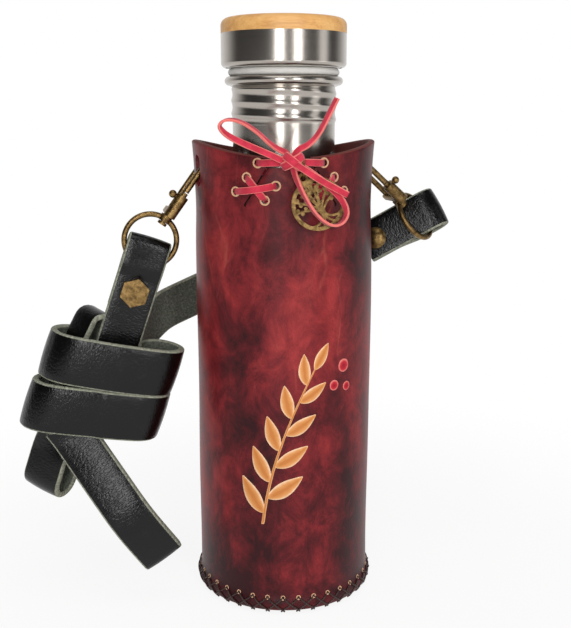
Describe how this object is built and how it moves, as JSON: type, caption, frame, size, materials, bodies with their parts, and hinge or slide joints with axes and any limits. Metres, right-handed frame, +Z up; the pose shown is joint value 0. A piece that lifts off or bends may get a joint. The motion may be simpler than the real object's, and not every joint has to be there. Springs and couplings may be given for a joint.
{
  "type": "bottle carrier",
  "caption": "Laced leather sleeve that carries a steel bottle, with a front bow and pendant, a base cup, and a strap put up in a hank on swivel bolt-snap hooks.",
  "frame": {"origin": "centre of the base cup's underside, on the surface that the carrier stands on", "axes": "+Z up along the sleeve, -Y to the laced front, +X to the right of the picture"},
  "size_m": [0.2118, 0.1035, 0.2716],
  "materials": {
    "sleeve_leather": "waxed, antique",
    "strap_leather": "glossy grain, grey flesh side",
    "suede_lace": "suede",
    "waxed_thread": "waxed thread",
    "antique_brass": "antique",
    "spring_steel": "plain",
    "brushed_steel": "brushed",
    "bamboo": "oiled",
    "plug_plastic": "moulded",
    "gasket_rubber": "silicone"
  },
  "bodies": {
    "sleeve": {"sleeve_wall": "sleeve_leather", "base_cup": "sleeve_leather", "base_lacing": "waxed_thread", "back_seam_lacing": "waxed_thread", "lace_left": "suede_lace", "lace_right": "suede_lace", "bow_knot": "suede_lace", "bow_left_loop": "suede_lace", "bow_right_loop": "suede_lace", "bow_long_tail": "suede_lace", "bow_short_tail": "suede_lace", "pendant_ring": "antique_brass", "strap_back_run": "strap_leather"},
    "bottle": {"bottle_shell": "brushed_steel"},
    "lid_seal": {"lid_gasket": "gasket_rubber"},
    "lid": {"lid_plug": "plug_plastic", "lid_cap": "brushed_steel", "lid_wood": "bamboo"},
    "pendant": {"pendant_disc": "antique_brass"},
    "left_hook": {"left_hook_body": "antique_brass", "left_bolt_spring": "spring_steel", "left_swivel_post": "antique_brass"},
    "left_bolt_slide": {"left_bolt": "antique_brass"},
    "left_strap": {"left_eye": "antique_brass", "left_tab": "strap_leather", "left_rivet": "antique_brass", "left_rivet_cap": "antique_brass", "hank_winding": "strap_leather", "hank_tail_bight": "strap_leather", "hank_side_bight": "strap_leather"},
    "right_hook": {"right_hook_body": "antique_brass", "right_bolt_spring": "spring_steel", "right_swivel_post": "antique_brass"},
    "right_bolt_slide": {"right_bolt": "antique_brass"},
    "right_strap": {"right_eye": "antique_brass", "right_tab": "strap_leather", "right_rivet": "antique_brass", "right_rivet_cap": "antique_brass"}
  },
  "joints": [
    {"name": "bottle_lift", "type": "slide", "parent": "sleeve", "child": "bottle", "axis": [0, 0, 1], "range_m": [0, 0.26]},
    {"name": "lid_lift", "type": "slide", "parent": "bottle", "child": "lid_seal", "axis": [0, 0, 1], "range_m": [0, 0.008]},
    {"name": "lid_turn", "type": "hinge", "parent": "lid_seal", "child": "lid", "pos_m": [0, 0, 0.2498], "axis": [0, 0, 1], "range_deg": [0, 720]},
    {"name": "pendant_swing", "type": "hinge", "parent": "sleeve", "child": "pendant", "pos_m": [0.0044, -0.0466, 0.2031], "axis": [0, 1, 0], "range_deg": [-20, 20]},
    {"name": "left_hook_swing", "type": "hinge", "parent": "sleeve", "child": "left_hook", "pos_m": [-0.03609, -0.00455, 0.209], "axis": [-0.125, 0.9922, 0], "range_deg": [0, 25]},
    {"name": "left_swivel", "type": "hinge", "parent": "left_hook", "child": "left_strap", "pos_m": [-0.06227, -0.00785, 0.17267], "axis": [-0.5832, -0.0735, -0.809], "range_deg": [-10, 10]},
    {"name": "left_bolt_pull", "type": "slide", "parent": "left_hook", "child": "left_bolt_slide", "axis": [-0.5832, -0.0735, -0.809], "range_m": [0, 0.004], "stiffness_N_per_m": 300, "springref_m": -0.002, "deforming": ["left_bolt_spring"]},
    {"name": "right_hook_swing", "type": "hinge", "parent": "sleeve", "child": "right_hook", "pos_m": [0.03483, 0.01049, 0.209], "axis": [0.2885, -0.9575, 0], "range_deg": [0, 20]},
    {"name": "right_swivel", "type": "hinge", "parent": "right_hook", "child": "right_strap", "pos_m": [0.06727, 0.02027, 0.17954], "axis": [0.7226, 0.2177, -0.6561], "range_deg": [-8, 8]},
    {"name": "right_bolt_pull", "type": "slide", "parent": "right_hook", "child": "right_bolt_slide", "axis": [0.7226, 0.2177, -0.6561], "range_m": [0, 0.004], "stiffness_N_per_m": 300, "springref_m": -0.002, "deforming": ["right_bolt_spring"]}
  ],
  "couplings": [
    {"joint": "lid_lift", "follows": "lid_turn", "m_per_rad": 0.00063662}
  ]
}
